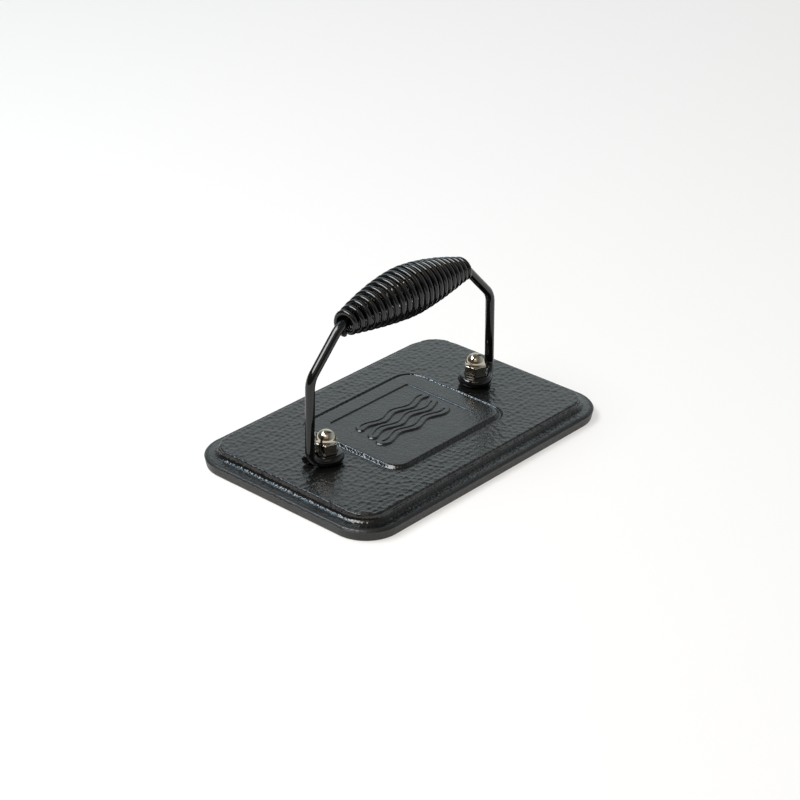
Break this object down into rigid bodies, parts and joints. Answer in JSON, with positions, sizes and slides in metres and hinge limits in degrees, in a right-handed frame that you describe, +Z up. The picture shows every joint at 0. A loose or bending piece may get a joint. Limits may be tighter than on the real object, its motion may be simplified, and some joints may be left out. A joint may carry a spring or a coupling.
{
  "type": "bacon press",
  "caption": "Cast-iron grill press: rounded rectangular plate with a hammered top and a plain plaque, a bent black rod handle held by studs and cap nuts, and a turning wire coil grip.",
  "frame": {"origin": "centre of the plate's flat pressing face, on the surface it rests on", "axes": "+X along the plate's long side and along the grip, +Y along the plate's short side, +Z up towards the grip"},
  "size_m": [0.1714, 0.1142, 0.089],
  "materials": {
    "plate_iron": "seasoned cast iron, hammered top, semi-gloss",
    "rod_black": "gloss black coating on round steel rod",
    "coil_black": "gloss black coating on round steel wire",
    "stud_steel": "zinc-plated steel",
    "nut_nickel": "bright nickel plating"
  },
  "bodies": {
    "press": {"press_plate": "plate_iron", "handle_rod": "rod_black", "stud_left": "stud_steel", "stud_right": "stud_steel", "cap_nut_left": "nut_nickel", "cap_nut_right": "nut_nickel"},
    "grip": {"grip_coil": "coil_black"}
  },
  "joints": [
    {"name": "grip_spin", "type": "hinge", "parent": "press", "child": "grip", "pos_m": [0.0003, 0, 0.07465], "axis": [1, 0, 0], "continuous": true}
  ]
}
